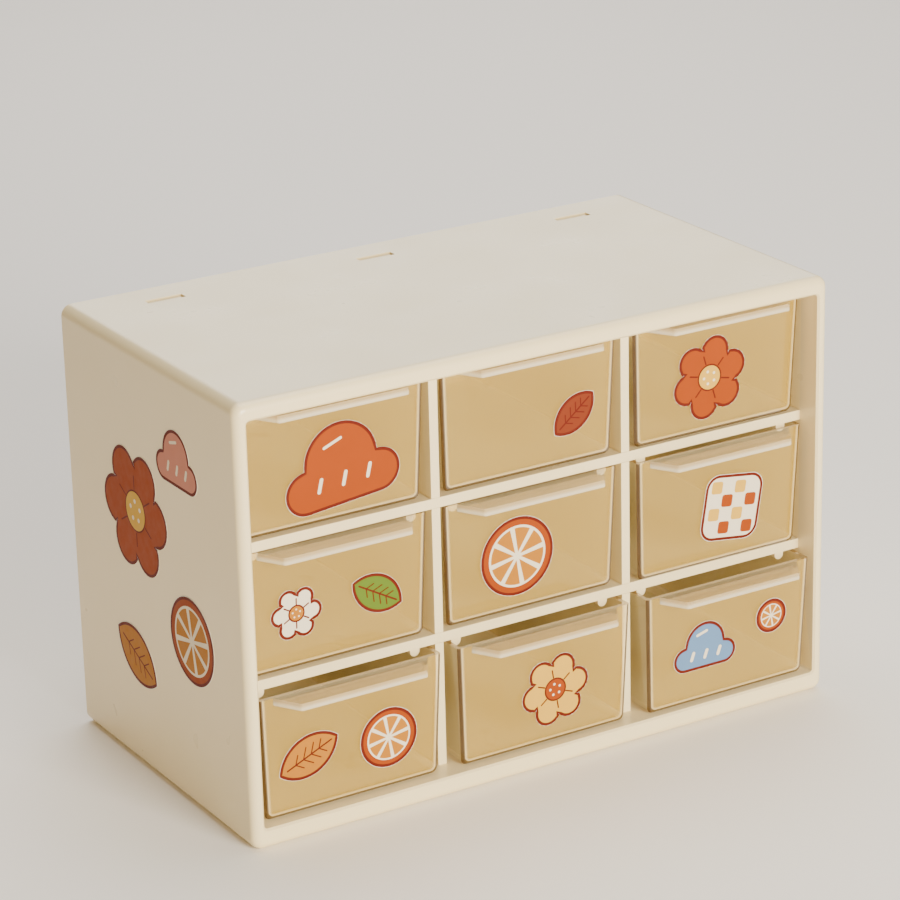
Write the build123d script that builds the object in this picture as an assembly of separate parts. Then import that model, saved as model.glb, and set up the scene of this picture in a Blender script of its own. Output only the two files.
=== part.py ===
from build123d import *
import os
from math import cos, radians, sin, tan

# Desktop organizer with a grid of clear drawers in a moulded sleeve.
# Millimetres, +Z up, front towards -Y, origin at the middle of the base.

columns = 3
rows = 3
column_names = ["left", "middle", "right"]
row_names = ["bottom", "middle", "top"]
divider_names = ["left", "right"]
shelf_names = ["lower", "upper"]

# Sleeve: one moulding, open at the front and at the back
cabinet_width = 265.0
cabinet_depth = 142.5
cabinet_height = 177.5
edge_radius = 4.5
rim_radius = 3.5
mouth_chamfer = 0.8
mouth_corner_radius = 1.5
side_wall = 5.0
top_lip = 7.0
top_skin = 3.0
floor_level = 8.4
floor_skin = 5.0
front_recess = 11.3
rear_recess = 14.7
skirt_wall = 7.0
skirt_rib = 2.4

# Grid: upright dividers and shelves, half-lapped, in grooves of the sleeve
divider_thickness = 3.7
shelf_thickness = 4.0
groove_depth = 1.2
plate_clearance = 0.1
nub_width = 4.2
nub_drop = 4.4
nub_length = 3.0
nub_inset = 7.4
nub_setback = 3.0

# Back panel: a plate with tabs that stand in slots of the top and the floor
panel_thickness = 2.5
panel_clearance = 0.25
panel_corner_radius = 1.2
tab_width = 14.6
tab_sink = 0.7
slot_width = 16.0
slot_depth = 4.3
slot_spacing = 95.0

# Drawers: clear open boxes with drafted walls and a lip to pull
drawer_rear_gap = 4.1
drawer_wall = 1.8
drawer_floor = 2.0
drawer_side_gap = 1.65
drawer_top_gap = 0.9
drawer_rest_gap = 0.2
drawer_stop_gap = 0.3
drawer_bottom_radius = 2.6
drawer_inner_radius = 1.2
drawer_edge_chamfer = 0.9
draft_degrees = 2.0
lip_reach = 10.5
lip_thickness = 1.6
lip_root_inset = 6.1
lip_end_taper = 6.3
lip_tip_radius = 1.6
skirt_drop = 2.9
skirt_thickness = 1.5

# How far each drawer stands open, from the left, one row per list, bottom row first
drawer_pulls = [[8.1, 8.8, 10.4], [0.0, 0.2, 4.0], [0.0, 0.2, 1.8]]

# Stickers: thin die-cut vinyl
sticker_thickness = 0.2

# Shape, then as shares: size of the front's height, place of its width and height, turn of a full turn
front_sticker_shares = {
    "bottom_left": [("leaf", 0.56, -0.24, 0.45, 0.067), ("disc", 0.50, 0.20, 0.42, 0.0)],
    "bottom_middle": [("daisy", 0.62, 0.06, 0.44, 0.028)],
    "bottom_right": [("cloud", 0.64, -0.14, 0.47, 0.0), ("disc", 0.30, 0.27, 0.58, 0.0)],
    "middle_left": [("daisy", 0.44, -0.22, 0.44, 0.0), ("leaf", 0.50, 0.22, 0.44, -0.083)],
    "middle_middle": [("disc", 0.66, -0.08, 0.45, 0.0)],
    "middle_right": [("tile", 0.56, 0.08, 0.44, -0.022)],
    "top_left": [("cloud", 1.04, 0.05, 0.42, 0.017)],
    "top_middle": [("leaf", 0.46, 0.26, 0.40, 0.111)],
    "top_right": [("daisy", 0.70, -0.04, 0.45, 0.05)],
}

# The same for the left side: size of the sleeve's height, place of its depth and height
side_sticker_shares = [
    ("daisy", 0.30, 0.40, 0.62, 0.0),
    ("disc", 0.20, 0.70, 0.40, 0.0),
    ("leaf", 0.20, 0.36, 0.27, -0.069),
    ("cloud", 0.20, 0.66, 0.80, 0.0),
]
full_turn_degrees = 360
leaf_width_share = 0.62
daisy_petals = 6
daisy_petal_share = 0.19
daisy_ring_share = 0.31
cloud_height_share = 0.6
cloud_base_share = 0.3
cloud_side_share = 0.17
tile_corner_share = 0.22

# Sides of the flat-sided rounds that stand for small curves
round_sides = 36
small_round_sides = 16

# How far cuts run past the faces that they open
overrun = 1.0

# Sizes worked out from those above
draft_slope = tan(radians(draft_degrees))
front_y = -cabinet_depth / 2
back_y = cabinet_depth / 2
grid_front_y = front_y + front_recess
panel_back_y = back_y - rear_recess
grid_back_y = panel_back_y - panel_thickness
panel_middle_y = panel_back_y - panel_thickness / 2
grid_depth = grid_back_y - grid_front_y
inner_width = cabinet_width - 2 * side_wall
ceiling_level = cabinet_height - top_lip
skin_level = cabinet_height - top_skin
cell_width = (inner_width - (columns - 1) * divider_thickness) / columns
cell_height = (ceiling_level - floor_level - (rows - 1) * shelf_thickness) / rows
column_pitch = cell_width + divider_thickness
row_pitch = cell_height + shelf_thickness
drawer_width = cell_width - 2 * drawer_side_gap
drawer_height = cell_height - drawer_rest_gap - drawer_top_gap
nub_front_y = grid_front_y + nub_setback
drawer_front_y = nub_front_y - drawer_stop_gap - drawer_wall
drawer_length = grid_back_y - drawer_rear_gap - drawer_front_y


def column_x(column):
    """Middle of a cell, counted from the left."""
    return (column - (columns - 1) / 2) * column_pitch


def row_z(row):
    """Level that a row's drawers run on, counted from the bottom."""
    return floor_level + row * row_pitch


def divider_x(divider):
    """Middle of an upright divider, counted from the left."""
    return column_x(divider) + column_pitch / 2


def block(low, high):
    """A box between two corners."""
    size = [b - a for a, b in zip(low, high)]
    middle = [(a + b) / 2 for a, b in zip(low, high)]
    return Pos(*middle) * Box(*size)


def along_depth(outline, start_y, end_y):
    """An outline drawn across the front, X and Z, drawn out from one depth to another."""
    return extrude(Plane.XZ.offset(-start_y) * outline, amount=start_y - end_y)


def nub_places(column):
    """The two places across a cell where stop nubs hang."""
    reach = cell_width / 2 - nub_inset
    return [column_x(column) - reach, column_x(column) + reach]


def stop_nubs(underside, root_level):
    """Half-round nubs that hang below a level, with necks that reach up to their root."""
    tip_level = underside - nub_drop
    round_level = tip_level + nub_width / 2
    neck = root_level - round_level
    tip = RegularPolygon(nub_width / 2, small_round_sides)
    outline = tip + Pos(0, neck / 2) * Rectangle(nub_width, neck)
    nubs = Part()
    for column in range(columns):
        for x in nub_places(column):
            place = Pos(x, round_level) * outline
            nubs += along_depth(place, nub_front_y, nub_front_y + nub_length)
    return nubs


def slot_places():
    """The slots across the width, one behind each column of drawers."""
    return [(column - (columns - 1) / 2) * slot_spacing for column in range(columns)]


def sleeve_body():
    """The rounded sleeve with its mouth, and the hollow above the front lip."""
    outline = RectangleRounded(cabinet_width, cabinet_height, edge_radius)
    body = along_depth(Pos(0, cabinet_height / 2) * outline, front_y, back_y)
    rim = body.edges().group_by(Axis.Y)[0]
    body = fillet(rim, rim_radius)
    mouth_height = ceiling_level - floor_level
    mouth = RectangleRounded(inner_width, mouth_height, mouth_corner_radius)
    mouth = Pos(0, floor_level + mouth_height / 2) * mouth
    body -= along_depth(mouth, front_y - overrun, back_y + overrun)
    inner_rim = body.faces().sort_by(Axis.Y)[0].inner_wires()[0].edges()
    body = chamfer(inner_rim, mouth_chamfer)
    hollow_low = (-inner_width / 2, grid_front_y, ceiling_level - mouth_corner_radius)
    hollow_high = (inner_width / 2, back_y + overrun, skin_level)
    return body - block(hollow_low, hollow_high)


def base_pockets():
    """Pockets moulded into the underside, between ribs that stand under the dividers."""
    field_x = cabinet_width - 2 * skirt_wall
    field_y = cabinet_depth - 2 * skirt_wall
    pocket_x = (field_x - (columns - 1) * skirt_rib) / columns
    pocket_y = (field_y - skirt_rib) / 2
    outline = Rectangle(pocket_x, pocket_y)
    height = floor_level - floor_skin
    pockets = Part()
    for column in range(columns):
        x = (column - (columns - 1) / 2) * (pocket_x + skirt_rib)
        for side in (-1, 1):
            y = side * (pocket_y + skirt_rib) / 2
            pockets += extrude(Pos(x, y, -overrun) * outline, amount=height + overrun)
    return pockets


def plate_grooves():
    """Grooves that run in from the back and hold the edges of the shelves and dividers."""
    end_y = back_y + overrun
    grooves = Part()
    half_shelf = shelf_thickness / 2 + plate_clearance
    half_divider = divider_thickness / 2 + plate_clearance
    for row in range(1, rows):
        z = row_z(row) - shelf_thickness / 2
        reach = inner_width / 2 + groove_depth
        grooves += block((-reach, grid_front_y, z - half_shelf), (reach, end_y, z + half_shelf))
    for divider in range(columns - 1):
        x = divider_x(divider)
        low = (x - half_divider, grid_front_y, floor_level - groove_depth)
        high = (x + half_divider, end_y, skin_level + groove_depth)
        grooves += block(low, high)
    return grooves


def panel_slots():
    """Slots right through the top and the floor for the back panel's tabs."""
    slots = Part()
    for x in slot_places():
        low = (x - slot_width / 2, panel_middle_y - slot_depth / 2, -overrun)
        high = (x + slot_width / 2, panel_middle_y + slot_depth / 2, cabinet_height + overrun)
        slots += block(low, high)
    return slots


def outer_shell():
    shell = sleeve_body() - base_pockets() - plate_grooves() - panel_slots()
    return shell + stop_nubs(ceiling_level, skin_level)


def half_lap(divider, row, start_y, end_y, grow_x, grow_z):
    """The notch where a divider and a shelf pass through each other."""
    x = divider_x(divider)
    z = row_z(row) - shelf_thickness / 2
    half_x = divider_thickness / 2 + grow_x
    half_z = shelf_thickness / 2 + grow_z
    return block((x - half_x, start_y, z - half_z), (x + half_x, end_y, z + half_z))


def upright_divider(divider):
    """An upright plate, notched from the front for each shelf."""
    x = divider_x(divider)
    half = divider_thickness / 2
    foot = floor_level - groove_depth
    head = skin_level + groove_depth
    plate = block((x - half, grid_front_y, foot), (x + half, grid_back_y, head))
    lap_y = grid_front_y + grid_depth / 2 + plate_clearance
    for row in range(1, rows):
        plate -= half_lap(divider, row, grid_front_y - overrun, lap_y, overrun, plate_clearance)
    return plate


def shelf(row):
    """A shelf, notched from the back for each divider, with stop nubs below its front edge."""
    top = row_z(row)
    underside = top - shelf_thickness
    reach = inner_width / 2 + groove_depth - plate_clearance
    plate = block((-reach, grid_front_y, underside), (reach, grid_back_y, top))
    lap_y = grid_front_y + grid_depth / 2
    for divider in range(columns - 1):
        plate -= half_lap(divider, row, lap_y, grid_back_y + overrun, plate_clearance, overrun)
    return plate + stop_nubs(underside, underside + plate_clearance)


def back_panel():
    """The plate that closes the back, with tabs in the slots of the top and the floor."""
    width = inner_width - 2 * panel_clearance
    low = floor_level + panel_clearance
    high = skin_level - panel_clearance
    outline = RectangleRounded(width, high - low, panel_corner_radius)
    plate = along_depth(Pos(0, (low + high) / 2) * outline, grid_back_y, panel_back_y)
    foot = floor_level - floor_skin + tab_sink
    head = cabinet_height - tab_sink
    for x in slot_places():
        half = tab_width / 2
        plate += block((x - half, grid_back_y, foot), (x + half, panel_back_y, head))
    return plate


def drafted_profile(width, height, bottom_radius):
    """A section that widens upwards by the draft, given by its width at the top."""
    half = width / 2
    foot = half - height * draft_slope
    section = make_face(Polyline((-foot, 0), (foot, 0), (half, height), (-half, height), close=True))
    if bottom_radius:
        section = fillet(section.vertices().group_by(Axis.Y)[0], bottom_radius)
    return section


def drafted_box(width, length, height, bottom_radius):
    """A box with drafted walls, rounded along the foot of its long sides."""
    across = extrude(Plane.XZ * drafted_profile(width, height, bottom_radius), amount=length, both=True)
    along = extrude(Plane.YZ * drafted_profile(length, height, 0), amount=width, both=True)
    return across & along


def lip_outline(inset):
    """The lip seen from above, drawn in by an inset, with its root on the X axis."""
    root = drawer_width / 2 - lip_root_inset - inset
    tip = root - lip_end_taper
    reach = lip_reach - inset
    corners = [(-root, drawer_wall), (-root, 0), (-tip, -reach)]
    corners += [(tip, -reach), (root, 0), (root, drawer_wall)]
    return make_face(Polyline(*corners, close=True))


def pull_lip():
    """The lip along the top of the front: a ledge with a skirt that hangs from its edges."""
    outline = lip_outline(0)
    outline = fillet(outline.vertices().group_by(Axis.Y)[0], lip_tip_radius)
    lip = extrude(outline, amount=-skirt_drop)
    hollow = extrude(lip_outline(skirt_thickness), amount=-skirt_drop)
    hollow = hollow & block((-drawer_width, -lip_reach, -skirt_drop), (drawer_width, 0, 0))
    return lip - Pos(0, 0, -lip_thickness) * hollow


def drawer_box():
    """One drawer, with the top of its front on the X axis and its length towards +Y."""
    outer = drafted_box(drawer_width, drawer_length, drawer_height, drawer_bottom_radius)
    front_edges = outer.faces().sort_by(Axis.Y)[0].edges().sort_by(Axis.Z)[:-1]
    outer = chamfer(front_edges, drawer_edge_chamfer)
    grow = 2 * overrun * draft_slope
    inner = drafted_box(drawer_width - 2 * drawer_wall + grow, drawer_length - 2 * drawer_wall + grow,
                        drawer_height - drawer_floor + overrun, drawer_inner_radius)
    box = outer - Pos(0, 0, drawer_floor) * inner
    return Pos(0, drawer_length / 2, -drawer_height) * box + pull_lip()


def drawer_place(column, row):
    """Where a drawer's own origin, the top of its front, stands."""
    y = drawer_front_y - drawer_pulls[row][column]
    return Pos(column_x(column), y, row_z(row) + drawer_rest_gap + drawer_height)


def disc_outline(size):
    return RegularPolygon(size / 2, round_sides)


def leaf_outline(size):
    """Two rounds that overlap between points."""
    half = size / 2
    side = half * leaf_width_share
    radius = (half * half + side * side) / (2 * side)
    arch = RegularPolygon(radius, 2 * round_sides)
    return (Pos(0, side - radius) * arch) & (Pos(0, radius - side) * arch)


def daisy_outline(size):
    """Round petals about a middle."""
    outline = RegularPolygon(size * daisy_ring_share, round_sides)
    for place in PolarLocations(size * daisy_ring_share, daisy_petals):
        outline += place * RegularPolygon(size * daisy_petal_share, small_round_sides)
    return outline


def cloud_outline(size):
    """Three rounds over a flat foot."""
    side = size * cloud_side_share
    base = size * cloud_base_share
    foot = side - size * cloud_height_share / 2
    outline = Pos(0, foot + side) * RegularPolygon(base, round_sides)
    for x in (-base, base):
        outline += Pos(x, foot) * RegularPolygon(side, round_sides)
    return outline + Pos(0, foot) * Rectangle(2 * base, 2 * side)


def tile_outline(size):
    return RectangleRounded(size, size, size * tile_corner_share)


outlines = {
    "disc": disc_outline,
    "leaf": leaf_outline,
    "daisy": daisy_outline,
    "cloud": cloud_outline,
    "tile": tile_outline,
}


def sticker(plane, shape, size, across, up, turn):
    """A die-cut sticker on a plane, at a place across and up it."""
    outline = Rot(Z=turn * full_turn_degrees) * outlines[shape](size)
    return extrude(plane * (Pos(across, up) * outline), amount=sticker_thickness)


def front_stickers(cell, place):
    """The stickers on one drawer's leaning front."""
    lean = radians(draft_degrees)
    plane = Plane(origin=(0, 0, 0), x_dir=(1, 0, 0), z_dir=(0, -cos(lean), -sin(lean)))
    made = {}
    for number, (shape, size, across, up, turn) in enumerate(front_sticker_shares[cell], 1):
        x = across * drawer_width
        z = (up - 1) * drawer_height
        solid = sticker(plane, shape, size * drawer_height, x, z, turn)
        made[f"sticker_{cell}_{number}_{shape}"] = place * solid
    return made


def side_stickers():
    """The stickers on the left side of the sleeve."""
    plane = Plane(origin=(-cabinet_width / 2, back_y, 0), x_dir=(0, -1, 0), z_dir=(-1, 0, 0))
    made = {}
    for number, (shape, size, across, up, turn) in enumerate(side_sticker_shares, 1):
        solid = sticker(plane, shape, size * cabinet_height, across * cabinet_depth,
                        up * cabinet_height, turn)
        made[f"sticker_side_{number}_{shape}"] = solid
    return made


def all_parts():
    parts = {"outer_shell": outer_shell(), "back_panel": back_panel()}
    for divider, name in enumerate(divider_names):
        parts[f"divider_{name}"] = upright_divider(divider)
    for row, name in enumerate(shelf_names, 1):
        parts[f"shelf_{name}"] = shelf(row)
    box = drawer_box()
    for row in range(rows):
        for column in range(columns):
            cell = f"{row_names[row]}_{column_names[column]}"
            place = drawer_place(column, row)
            parts[f"drawer_{cell}"] = place * box
            parts.update(front_stickers(cell, place))
    parts.update(side_stickers())
    return parts


os.makedirs("parts", exist_ok=True)
for node, shape in all_parts().items():
    export_step(shape, f"parts/{node}.step")
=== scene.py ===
import math

import bpy
from mathutils import Euler, Matrix, Vector


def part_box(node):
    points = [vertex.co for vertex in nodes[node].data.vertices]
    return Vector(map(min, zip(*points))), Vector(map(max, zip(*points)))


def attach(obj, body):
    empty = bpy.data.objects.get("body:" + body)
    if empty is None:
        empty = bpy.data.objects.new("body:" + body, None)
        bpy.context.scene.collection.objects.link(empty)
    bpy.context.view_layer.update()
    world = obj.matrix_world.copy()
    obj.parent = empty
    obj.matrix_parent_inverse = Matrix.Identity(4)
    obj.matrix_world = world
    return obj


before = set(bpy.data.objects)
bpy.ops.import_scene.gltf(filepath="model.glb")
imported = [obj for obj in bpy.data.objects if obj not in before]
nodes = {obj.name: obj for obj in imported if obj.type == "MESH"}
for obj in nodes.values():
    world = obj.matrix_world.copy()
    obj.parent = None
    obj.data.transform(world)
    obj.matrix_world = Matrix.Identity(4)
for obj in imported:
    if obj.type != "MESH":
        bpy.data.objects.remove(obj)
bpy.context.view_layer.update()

scene = bpy.context.scene
MM = 0.001

# Sizes of the drawers and stickers, in millimetres, and the lean of the drawers' walls
LIP_REACH = 10.5
SKIRT = 1.5
CHAMFER = 0.9
CORNER = 2.6
STICKER = 0.2
LEAN = math.radians(2.0)

# Sizes of the prints, in millimetres: their outline, the bare edge round it and the height of the layers
LINE = 1.35
MARGIN = 0.3
FIRST_LAYER = 0.02
LAYER = 0.004

# How near a face lies to a plane that it belongs to, in millimetres
ON_PLANE = 0.1
ON_PANEL = 0.5
ON_OUTSIDE = 1.5
ON_FRONT = 3.0

# How far a face's normal reaches along an axis, out of 1
SLANTED = 0.3
NEARLY_SQUARE = 0.9
SQUARE = 0.95

# Directions in the part's frame
RIGHT = Vector((1, 0, 0))
LEFT = Vector((-1, 0, 0))
FORWARD = Vector((0, -1, 0))
UP = Vector((0, 0, 1))

# Names of the values kept at the corners of a drawer's faces; the first places the painted highlight along
# the bead's lower edge
BEAD_HIGHLIGHT = "edge"
BORDER = "border"

# Noise behind the finishes: its middle range and detail, how much finer roughness is, and depth in metres
NOISE_MIDDLE = (0.3, 0.7)
PATCH_DETAIL = 3.0
GRAIN_DETAIL = 2.0
ROUGH_FINER = 3
GRAIN_DEPTH = 0.0002


def new_material(name):
    """A material with its node tree and shader."""
    material = bpy.data.materials.new(name)
    material.use_nodes = True
    tree = material.node_tree
    return material, tree, tree.nodes["Principled BSDF"]


def feed(tree, socket, source):
    """Links a socket to another node's output, or sets it to a fixed value."""
    if isinstance(source, bpy.types.NodeSocket):
        tree.links.new(source, socket)
    else:
        socket.default_value = source


def noise(tree, scale, detail):
    """Noise in the part's own frame, so that it stays on the piece as it moves."""
    place = tree.nodes.new("ShaderNodeTexCoord")
    texture = tree.nodes.new("ShaderNodeTexNoise")
    texture.inputs["Scale"].default_value = scale
    texture.inputs["Detail"].default_value = detail
    tree.links.new(place.outputs["Object"], texture.inputs["Vector"])
    return texture.outputs["Fac"]


def attribute(tree, name, output):
    """A value kept on the mesh."""
    node = tree.nodes.new("ShaderNodeAttribute")
    node.attribute_name = name
    return node.outputs[output]


def spread(tree, factor, given, wanted):
    """A factor taken from one range to another."""
    ramp = tree.nodes.new("ShaderNodeMapRange")
    for end, value in zip(("From Min", "From Max", "To Min", "To Max"), (*given, *wanted)):
        ramp.inputs[end].default_value = value
    tree.links.new(factor, ramp.inputs["Value"])
    return ramp.outputs["Result"]


def tint(tree, factor, first, second):
    """A colour between two, by a factor."""
    mix = tree.nodes.new("ShaderNodeMix")
    mix.data_type = "RGBA"
    tree.links.new(factor, mix.inputs["Factor"])
    feed(tree, mix.inputs["A"], first)
    feed(tree, mix.inputs["B"], second)
    return mix.outputs["Result"]


def vector_math(tree, operation, output, *sources):
    """The result of one step of vector arithmetic."""
    node = tree.nodes.new("ShaderNodeVectorMath")
    node.operation = operation
    for socket, source in zip(node.inputs, sources):
        feed(tree, socket, source)
    return node.outputs[output]


def grain(tree, shader, scale, strength):
    """A fine moulded or printed surface."""
    bump = tree.nodes.new("ShaderNodeBump")
    bump.inputs["Strength"].default_value = strength
    bump.inputs["Distance"].default_value = GRAIN_DEPTH
    tree.links.new(noise(tree, scale, GRAIN_DETAIL), bump.inputs["Height"])
    tree.links.new(bump.outputs["Normal"], shader.inputs["Normal"])


def surface(name, dark, light, rough, patch, grain_scale, grain_strength, run=None, **sockets):
    """A finish that varies in patches over a fine grain, or whose colour runs by a value kept on the mesh."""
    material, tree, shader = new_material(name)
    if run:
        factor = spread(tree, attribute(tree, run, "Fac"), NOISE_MIDDLE, (0, 1))
    else:
        factor = noise(tree, patch, PATCH_DETAIL)
    tree.links.new(tint(tree, factor, (*dark, 1), (*light, 1)), shader.inputs["Base Color"])
    uneven = noise(tree, patch * ROUGH_FINER, PATCH_DETAIL)
    tree.links.new(spread(tree, uneven, NOISE_MIDDLE, rough), shader.inputs["Roughness"])
    grain(tree, shader, grain_scale, grain_strength)
    for socket, value in sockets.items():
        shader.inputs[socket.replace("_", " ")].default_value = value
    return material


def moulded(name, dark, light):
    """Satin moulded plastic."""
    return surface(name, dark, light, rough=(0.27, 0.36), patch=14, grain_scale=900, grain_strength=0.10,
                   Coat_Weight=0.25, Coat_Roughness=0.12)


def clear_plastic(name, dark, light, alpha, run=None):
    """Tinted clear plastic: see-through by its alpha, with the gloss of the whole surface kept."""
    return surface(name, dark, light, rough=(0.05, 0.12), patch=18, grain_scale=260, grain_strength=0.04,
                   run=run, Alpha=alpha, Specular_IOR_Level=1.0, Coat_Weight=1.0, Coat_Roughness=0.04)


def band_ramp(tree, factor, bands):
    """Colour and strength by the distance in from the border."""
    ramp = tree.nodes.new("ShaderNodeValToRGB")
    stops = ramp.color_ramp.elements
    while len(stops) < len(bands):
        stops.new(1.0)
    for stop, (distance, colour, strength) in zip(stops, bands):
        stop.position = distance / CORNER
        stop.color = (*colour, strength)
    tree.links.new(factor, ramp.inputs["Fac"])
    return ramp.outputs["Color"], ramp.outputs["Alpha"]


def plastic_with_painted_edge_lines(name, dark, light, alpha, bands):
    """Clear plastic with painted shade and highlight bands along its border, each a distance in from it, a
    colour and a strength.
    """
    material = clear_plastic(name, dark, light, alpha)
    tree = material.node_tree
    shader = tree.nodes["Principled BSDF"]
    # How far a point reaches into the corner's round gives its distance from the rounded border
    sides = attribute(tree, BORDER, "Vector")
    short = vector_math(tree, "SUBTRACT", "Vector", (CORNER, CORNER, CORNER), sides)
    kept = vector_math(tree, "MAXIMUM", "Vector", short, (0, 0, 0))
    reach = vector_math(tree, "LENGTH", "Value", kept)
    colour, strength = band_ramp(tree, spread(tree, reach, (CORNER, 0), (0, 1)), bands)
    base = shader.inputs["Base Color"].links[0].from_socket
    tree.links.new(tint(tree, strength, base, colour), shader.inputs["Base Color"])
    tree.links.new(spread(tree, strength, (0, 1), (alpha, 1)), shader.inputs["Alpha"])
    return material


def ink(name, colour):
    """Printing ink, a little darker in patches."""
    darker = 0.9
    return surface("ink " + name, tuple(c * darker for c in colour), colour, rough=(0.45, 0.58), patch=90,
                   grain_scale=1500, grain_strength=0.06, Specular_IOR_Level=0.12)


cream = moulded("cream plastic", (0.85, 0.70, 0.40), (0.89, 0.74, 0.44))
# Painted light: a warmer copy of the cream, standing in for amber light bounced from the drawers onto the
# walls round them
cream_with_painted_bounce = moulded("cream plastic with painted amber bounce light", (0.95, 0.77, 0.38), (0.98, 0.80, 0.41))
vinyl = surface("sticker vinyl", (0.80, 0.76, 0.70), (0.86, 0.82, 0.76), rough=(0.35, 0.48), patch=60,
                grain_scale=1500, grain_strength=0.06)

# Painted shade and highlight lines round a drawer's front: the distance in from its border in millimetres,
# the colour and the strength
PAINTED_SHADE_LINE = (0.05, 0.022, 0.004)
PAINTED_HIGHLIGHT_LINE = (1.0, 0.93, 0.70)
front_painted_light_bands = [
    (0.0, PAINTED_SHADE_LINE, 0.95),
    (0.45, PAINTED_SHADE_LINE, 0.90),
    (0.7, PAINTED_HIGHLIGHT_LINE, 0.40),
    (1.1, PAINTED_HIGHLIGHT_LINE, 0.35),
    (1.8, PAINTED_HIGHLIGHT_LINE, 0.0),
]

# The finishes of a drawer, in the order of its material slots
BOX, INSIDE, LEDGE, BEAD, EDGES, RIM, FRONT = range(7)
drawer_finishes = [
    clear_plastic("clear amber plastic", (0.96, 0.75, 0.28), (0.99, 0.79, 0.32), alpha=0.24),
    # Painted light: the inner faces are a lighter copy of the amber, standing in for light scattered inside
    # the drawer
    clear_plastic("clear inner plastic with painted light", (0.97, 0.80, 0.38), (1.0, 0.84, 0.42), alpha=0.11),
    clear_plastic("clear ledge plastic", (0.74, 0.58, 0.40), (0.78, 0.62, 0.44), alpha=0.20),
    # Painted highlight: the bead turns pale along its lower edge and darker towards its top
    clear_plastic("clear bead plastic with painted highlight", (0.70, 0.52, 0.28), (1.0, 0.93, 0.74), alpha=0.46, run=BEAD_HIGHLIGHT),
    # Painted shade: the chamfers are near black, standing in for the shade and refraction along the front's
    # edges
    surface("clear edge plastic with painted shade", (0.07, 0.032, 0.006), (0.09, 0.042, 0.008), rough=(0.10, 0.18), patch=18,
            grain_scale=260, grain_strength=0.04, Alpha=0.85),
    # Painted shade: the top rim is dark brown, standing in for the shade line along the walls' top edge
    clear_plastic("clear rim plastic with painted shade", (0.26, 0.13, 0.025), (0.30, 0.16, 0.035), alpha=0.72),
    # Painted shade and highlight: a dark line at the front's border with a pale line just inside it
    plastic_with_painted_edge_lines("clear front plastic with painted edge lines", (0.77, 0.45, 0.02), (0.81, 0.49, 0.035), 0.35, front_painted_light_bands),
]

inks = {
    "line": ink("red brown", (0.125, 0.012, 0.004)),
    "orange": ink("orange", (0.31, 0.052, 0.003)),
    "amber": ink("amber", (0.44, 0.17, 0.014)),
    "yellow": ink("yellow", (0.66, 0.38, 0.05)),
    "cream": ink("cream", (0.82, 0.72, 0.54)),
    "blue": ink("pale blue", (0.13, 0.24, 0.42)),
    "pink": ink("pink", (0.58, 0.22, 0.15)),
    "rust": ink("rust", (0.19, 0.033, 0.010)),
    "green": ink("leaf green", (0.11, 0.18, 0.016)),
}


def drawer_finish(middle, facing, low, high):
    """Which of the drawer's finishes a face takes, by where it lies and how it faces."""
    front = low.y + LIP_REACH * MM
    if middle.y < front - ON_PLANE * MM:
        return BEAD if facing.y < -SLANTED else LEDGE
    if SLANTED < -facing.y < SQUARE:
        return EDGES
    if facing.y < -SQUARE and middle.y < front + ON_FRONT * MM:
        return FRONT
    if facing.z > NEARLY_SQUARE and middle.z > high.z - ON_PLANE * MM:
        return RIM
    across = min(middle.x - low.x, high.x - middle.x)
    along = min(middle.y - front, high.y - middle.y)
    return BOX if min(across, along, middle.z - low.z) < ON_OUTSIDE * MM else INSIDE


def border_distances(corner, low, high):
    """How far a point of a drawer's front lies from its two sides and its bottom, in millimetres."""
    across = corner.x - (low.x + high.x) / 2
    half = (high.x - low.x) / 2 - (high.z - corner.z) * math.tan(LEAN) - CHAMFER * MM
    return Vector((half + across, half - across, corner.z - low.z - CHAMFER * MM)) / MM


def dress_drawer(name, node):
    """Amber box with painted light inside, a paler lip with a painted highlight on its bead, painted shade on
    its edges and top rim, and painted shade and highlight lines round the front.
    """
    mesh = node.data
    for material in drawer_finishes:
        mesh.materials.append(material)
    low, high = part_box(name)
    mesh.attributes.new(BEAD_HIGHLIGHT, "FLOAT", "CORNER")
    mesh.attributes.new(BORDER, "FLOAT_VECTOR", "CORNER")
    edge, border = mesh.attributes[BEAD_HIGHLIGHT].data, mesh.attributes[BORDER].data
    for polygon in mesh.polygons:
        finish = drawer_finish(polygon.center, polygon.normal, low, high)
        polygon.material_index = finish
        for loop in polygon.loop_indices:
            corner = mesh.vertices[mesh.loops[loop].vertex_index].co
            # Marks the bead's lower corners, where the painted highlight goes
            if finish == BEAD:
                edge[loop].value = corner.z < high.z - SKIRT * MM
            elif finish == FRONT:
                border[loop].vector = border_distances(corner, low, high)


def dress_sleeve(node):
    """Cream plastic, with painted amber bounce light on the walls round the drawers."""
    for material in (cream, cream_with_painted_bounce):
        node.data.materials.append(material)
    low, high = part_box("shelf_lower")
    for polygon in node.data.polygons:
        middle, facing = polygon.center, polygon.normal
        inside = low.x <= middle.x <= high.x and low.y <= middle.y <= high.y + ON_PANEL * MM
        behind = facing.y < -NEARLY_SQUARE and middle.y > high.y - ON_PANEL * MM
        # Painted bounce light goes on the side walls and back panel that face the drawers
        polygon.material_index = int(inside and (abs(facing.x) > NEARLY_SQUARE or behind))


for name, node in nodes.items():
    node.data.materials.clear()
    if name.startswith("drawer_"):
        dress_drawer(name, node)
    elif name.startswith("sticker_"):
        node.data.materials.append(vinyl)
    else:
        dress_sleeve(node)


def polar(radius, degrees):
    """A point by its distance and direction from the middle."""
    turn = math.radians(degrees)
    return radius * math.cos(turn), radius * math.sin(turn)


def arc(cx, cy, radius, start, end, steps):
    """Points along part of a circle, between two angles in degrees."""
    offsets = [polar(radius, start + (end - start) * i / steps) for i in range(steps + 1)]
    return [(cx + x, cy + y) for x, y in offsets]


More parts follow.
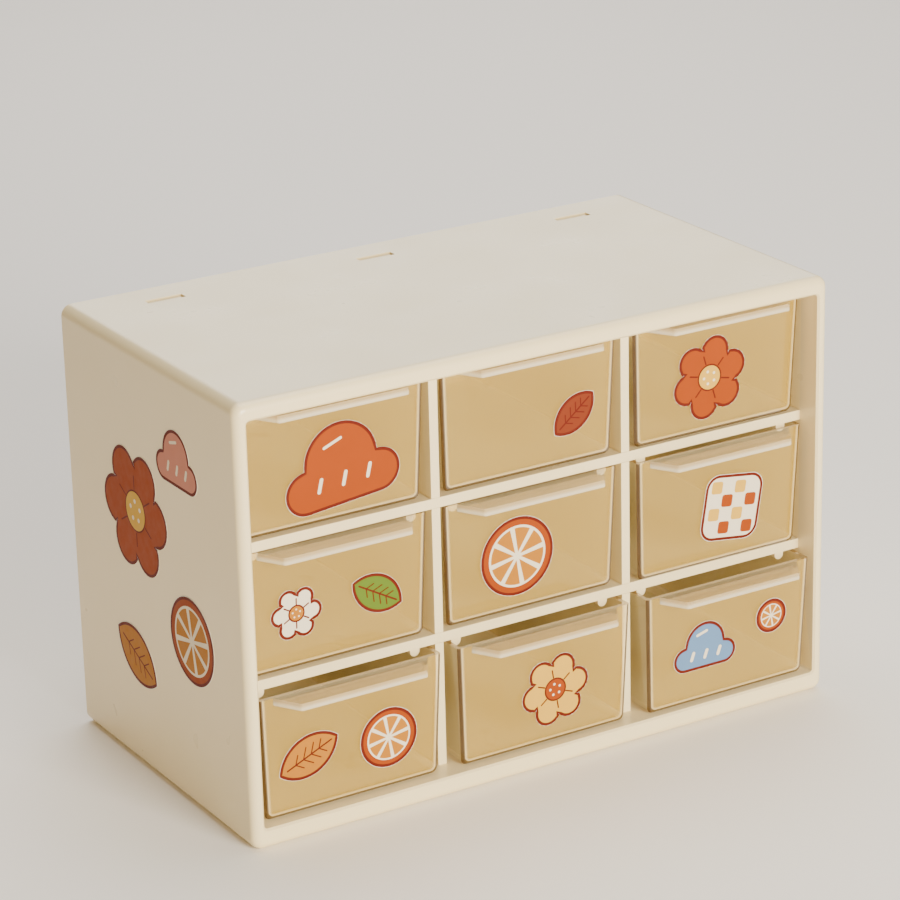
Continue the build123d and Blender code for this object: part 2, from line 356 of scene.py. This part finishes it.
def disc(size, cx=0, cy=0, steps=48):
    """A circle, given by its width."""
    return arc(cx, cy, size / 2, 0, 360, steps)[:-1]


def leaf(size, width_share=0.62, steps=24):
    """Two arcs that meet in a point at each end."""
    half = size / 2
    side = size * width_share / 2
    radius = (half * half + side * side) / (2 * side)
    sweep = math.degrees(math.asin(half / radius))
    upper = arc(0, side - radius, radius, 90 - sweep, 90 + sweep, steps)
    lower = arc(0, radius - side, radius, 270 - sweep, 270 + sweep, steps)
    return upper + lower[1:-1]


def daisy(size, petals=6, ring_share=0.31, round_share=0.19, steps=16):
    """The outer line of round petals set about a middle."""
    distance, radius = size * ring_share, size * round_share
    half = math.pi / petals
    cut = math.asin(min(1, distance * math.sin(half) / radius))
    reach = math.degrees(half + cut)
    points = []
    for i in range(petals):
        turn = 360 * i / petals
        points += arc(*polar(distance, turn), radius, turn - 180 + reach, turn + 180 - reach, steps)[:-1]
    return points


def cloud(size, height_share=0.6, middle_share=0.3, side_share=0.17, steps=24):
    """A flat-footed outline of a large round between two small ones."""
    small, large = size * side_share, size * middle_share
    foot = small - size * height_share / 2
    top = foot + small
    # Where the side rounds meet the middle one
    apart = math.hypot(large, small)
    along = (small * small - large * large + apart * apart) / (2 * apart)
    off = math.sqrt(max(0, small * small - along * along))
    ux, uy = -large / apart, small / apart
    x, y = large + ux * along + uy * off, foot + uy * along - ux * off
    start = math.degrees(math.atan2(y - top, x))
    side_end = math.degrees(math.atan2(y - foot, x - large))
    right = arc(large, foot, small, -90, side_end, steps)
    middle = arc(0, top, large, start, 180 - start, steps)
    left = arc(-large, foot, small, 180 - side_end, 270, steps)
    return right + middle[1:-1] + left


def tile(size, corner_share=0.22, steps=8):
    """A square with round corners."""
    radius = size * corner_share
    reach = size / 2 - radius
    points = []
    for i, (sx, sy) in enumerate([(1, 1), (-1, 1), (-1, -1), (1, -1)]):
        points += arc(sx * reach, sy * reach, radius, 90 * i, 90 * i + 90, steps)
    return points


def stroke(a, b, width, steps=6):
    """A straight line with round ends."""
    turn = math.degrees(math.atan2(b[1] - a[1], b[0] - a[0]))
    near = arc(*a, width / 2, turn + 90, turn + 270, steps)
    far = arc(*b, width / 2, turn - 90, turn + 90, steps)
    return far + near


def inset(points, amount):
    """Points of a closed line drawn in along its own normals."""
    count = len(points)
    area = sum(points[i - 1][0] * points[i][1] - points[i][0] * points[i - 1][1] for i in range(count))
    inward = math.copysign(amount, area)
    made = []
    for i in range(count):
        before, point, after = (Vector(points[j % count]) for j in (i - 1, i, i + 1))
        along = ((point - before).normalized() + (after - point).normalized()).normalized()
        made.append((point.x - along.y * inward, point.y + along.x * inward))
    return made


def scaled(size, shares, shift_share=0):
    """Points given as shares of a size, moved across by another share."""
    return [(size * (x + shift_share), size * y) for x, y in shares]


def citrus(size):
    """A cut fruit: its rind, a pale ring and the segments."""
    segments, first_turn, gap, steps = 8, 11, 5.0, 8
    ring_share, pith_share, heart_share = 0.14, 0.10, 0.05
    yield "line", disc(size - MARGIN)
    yield "orange", disc(size - 2 * LINE)
    yield "cream", disc(size - 2 * LINE - size * ring_share)
    reach = size / 2 - LINE - size * pith_share
    step = 360 / segments
    for i in range(segments):
        turn = step * i + first_turn
        wedge = arc(0, 0, reach, turn + gap, turn + step - gap, steps)
        yield "amber", wedge + [polar(size * heart_share, turn + step / 2)]


def flower(size, petal, heart):
    """A daisy with a short line between its petals and dots on its heart."""
    joins, join_turn, join_line = 6, 30, 0.6
    join_shares = (0.17, 0.27)
    heart_share, heart_line = 0.32, 1.3
    dots, dot_turn, dot_steps = 5, 20, 12
    dot_share, dot_ring_share = 0.035, 0.075
    yield "line", daisy(size - MARGIN)
    yield petal, inset(daisy(size), LINE)
    for i in range(joins):
        start, end = (polar(size * share, 360 / joins * i + join_turn) for share in join_shares)
        yield "line", stroke(start, end, join_line)
    yield "line", disc(size * heart_share)
    yield heart, disc(size * heart_share - heart_line)
    for i in range(dots):
        place = polar(size * dot_ring_share, 360 / dots * i + dot_turn)
        yield "cream", disc(size * dot_share, *place, dot_steps)


def blade(size, fill):
    """A leaf with a rib and slanting veins."""
    rib, rib_shares = 0.7, ((-0.36, 0), (0.38, 0))
    vein, veins, first_share, step_share = 0.5, 4, -0.22, 0.13
    longest, longest_share, fall_share, slant_share = 1.4, 0.15, 0.025, 0.75
    yield "line", leaf(size - MARGIN)
    yield fill, inset(leaf(size), LINE)
    yield "line", stroke(*scaled(size, rib_shares), rib)
    for i in range(veins):
        x = size * (first_share + step_share * i)
        reach = size * (longest_share - fall_share * abs(i - longest))
        for side in (-1, 1):
            yield "line", stroke((x, 0), (x + reach * slant_share, side * reach), vein)


def sky(size, fill, drops):
    """A cloud with a line of shine and three drops."""
    shine, shine_shares = 1.2, ((-0.12, 0.17), (0.02, 0.21))
    drop, drop_shares, drop_step_share, count = 1.5, ((-0.20, -0.15), (-0.17, -0.06)), 0.2, 3
    yield "line", cloud(size - MARGIN)
    yield fill, inset(cloud(size), LINE)
    yield "cream", stroke(*scaled(size, shine_shares), shine)
    for i in range(count):
        yield drops, stroke(*scaled(size, drop_shares, drop_step_share * i), drop)


def chequer(size):
    """A pale tile with squares in two colours."""
    count, border = 4, 5.4
    square_share, corner_share, steps = 0.92, 0.2, 4
    yield "line", tile(size - MARGIN)
    yield "cream", inset(tile(size), LINE)
    step = (size - border) / count
    square = tile(step * square_share, corner_share, steps)
    places = [(i - (count - 1) / 2) * step for i in range(count)]
    for i, x in enumerate(places):
        for j, y in enumerate(places):
            if (i + j) % 2:
                yield ("orange" if i % 2 else "yellow"), [(px + x, py + y) for px, py in square]


def print_art(name, body, origin, right, up, out, turn, art):
    """A sticker's printed layers, each laid a hair above the last."""
    vertices, faces, slots, colours = [], [], [], []
    cos, sin = math.cos(math.tau * turn), math.sin(math.tau * turn)
    for level, (colour, points) in enumerate(art):
        height = FIRST_LAYER + LAYER * level
        first = len(vertices)
        for x, y in points:
            across, along = cos * x - sin * y, sin * x + cos * y
            vertices.append(origin + (right * across + up * along + out * height) * MM)
        faces.append(list(range(first, len(vertices))))
        if colour not in colours:
            colours.append(colour)
        slots.append(colours.index(colour))
    mesh = bpy.data.meshes.new(name)
    mesh.from_pydata(vertices, [], faces)
    for colour in colours:
        mesh.materials.append(inks[colour])
    mesh.polygons.foreach_set("material_index", slots)
    for polygon in mesh.polygons:
        if polygon.normal.dot(out) < 0:
            polygon.flip()
    piece = bpy.data.objects.new(name, mesh)
    scene.collection.objects.link(piece)
    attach(piece, body)


# Size, places across and up, and turn, as the same shares that cut the sticker, then its motif and inks
front_print_shares = {
    "bottom_left": [(0.56, -0.24, 0.45, 0.067, blade, "amber"),
                    (0.50, 0.20, 0.42, 0.0, citrus)],
    "bottom_middle": [(0.62, 0.06, 0.44, 0.028, flower, "yellow", "orange")],
    "bottom_right": [(0.64, -0.14, 0.47, 0.0, sky, "blue", "cream"),
                     (0.30, 0.27, 0.58, 0.0, citrus)],
    "middle_left": [(0.44, -0.22, 0.44, 0.0, flower, "cream", "amber"),
                    (0.50, 0.22, 0.44, -0.083, blade, "green")],
    "middle_middle": [(0.66, -0.08, 0.45, 0.0, citrus)],
    "middle_right": [(0.56, 0.08, 0.44, -0.022, chequer)],
    "top_left": [(1.04, 0.05, 0.42, 0.017, sky, "orange", "cream")],
    "top_middle": [(0.46, 0.26, 0.40, 0.111, blade, "rust")],
    "top_right": [(0.70, -0.04, 0.45, 0.05, flower, "orange", "yellow")],
}
side_print_shares = [
    (0.30, 0.40, 0.62, 0.0, flower, "orange", "yellow"),
    (0.20, 0.70, 0.40, 0.0, citrus),
    (0.20, 0.36, 0.27, -0.069, blade, "amber"),
    (0.20, 0.66, 0.80, 0.0, sky, "pink", "cream"),
]


def print_fronts():
    """The prints on the leaning fronts, placed from the middle of each front's top edge."""
    out = Vector((0, -math.cos(LEAN), -math.sin(LEAN)))
    up = Vector((0, -math.sin(LEAN), math.cos(LEAN)))
    for cell, prints in front_print_shares.items():
        drawer = "drawer_" + cell
        low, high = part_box(drawer)
        width, height = high.x - low.x, high.z - low.z
        top = Vector(((low.x + high.x) / 2, low.y + LIP_REACH * MM, high.z)) + out * STICKER * MM
        for number, (size, across, raised, turn, motif, *colours) in enumerate(prints, 1):
            place = top + RIGHT * across * width + up * (raised - 1) * height
            art = motif(size * height / MM, *colours)
            print_art(f"print_{cell}_{number}", drawer, place, RIGHT, up, out, turn, art)


def print_side():
    """The prints on the left side, placed from its lower back corner."""
    low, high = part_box("outer_shell")
    depth, height = high.y - low.y, high.z - low.z
    for number, (size, across, raised, turn, motif, *colours) in enumerate(side_print_shares, 1):
        place = Vector((low.x - STICKER * MM, high.y - across * depth, raised * height))
        art = motif(size * height / MM, *colours)
        print_art(f"print_side_{number}", "cabinet", place, FORWARD, UP, LEFT, turn, art)


print_fronts()
print_side()

# Plain pale floor, a hair below the part
FLOOR_SIZE = 8
FLOOR_DROP = 0.0002
bpy.ops.mesh.primitive_plane_add(size=FLOOR_SIZE, location=(0, 0, -FLOOR_DROP))
floor = bpy.context.object
floor.name = "floor"
floor_material, _, floor_shader = new_material("pale floor")
floor_shader.inputs["Base Color"].default_value = (0.94, 0.90, 0.84, 1)
floor_shader.inputs["Roughness"].default_value = 0.8
floor.data.materials.append(floor_material)

# Soft studio light
world = scene.world or bpy.data.worlds.new("studio")
scene.world = world
world.use_nodes = True
background = world.node_tree.nodes["Background"]
background.inputs["Color"].default_value = (1.0, 0.76, 0.46, 1)
background.inputs["Strength"].default_value = 0.20


def lamp(name, place, aim, size, power, colour):
    """A soft box that looks at a height on the part's upright axis."""
    data = bpy.data.lights.new(name, "AREA")
    data.shape = "RECTANGLE"
    data.size, data.size_y = size
    data.energy = power
    data.color = colour
    light = bpy.data.objects.new(name, data)
    scene.collection.objects.link(light)
    light.location = place
    light.rotation_euler = (UP * aim - Vector(place)).to_track_quat("-Z", "Y").to_euler()


lamp("key", place=(0.12, -1.86, 0.58), aim=0.09, size=(0.75, 0.8), power=67, colour=(1.0, 0.97, 0.88))
lamp("fill", place=(-0.60, -1.70, 0.36), aim=0.09, size=(0.5, 0.5), power=17, colour=(1.0, 0.80, 0.50))
lamp("overhead", place=(0.25, 0.3, 1.6), aim=0.1, size=(1.4, 1.2), power=25, colour=(0.97, 0.98, 1.0))
lamp("sheen", place=(0.80, 1.35, 0.78), aim=0.15, size=(1.3, 0.7), power=9, colour=(1.0, 0.99, 0.98))

# Camera at the photo's angle: its place in metres, and its turns about X, Y and Z in degrees
CAMERA_PLACE = (-0.6691, -1.1140, 0.5948)
CAMERA_TURNS = (69.5743, 1.3214, -31.4720)
CAMERA_LENS = 139.54
SENSOR_WIDTH = 36
VIEW_END = 20
camera_data = bpy.data.cameras.new("camera")
camera_data.sensor_width = SENSOR_WIDTH
camera_data.lens = CAMERA_LENS
camera_data.clip_end = VIEW_END
camera = bpy.data.objects.new("camera", camera_data)
scene.collection.objects.link(camera)
turned = Euler([math.radians(turn) for turn in CAMERA_TURNS]).to_matrix().to_4x4()
camera.matrix_world = Matrix.Translation(CAMERA_PLACE) @ turned
scene.camera = camera
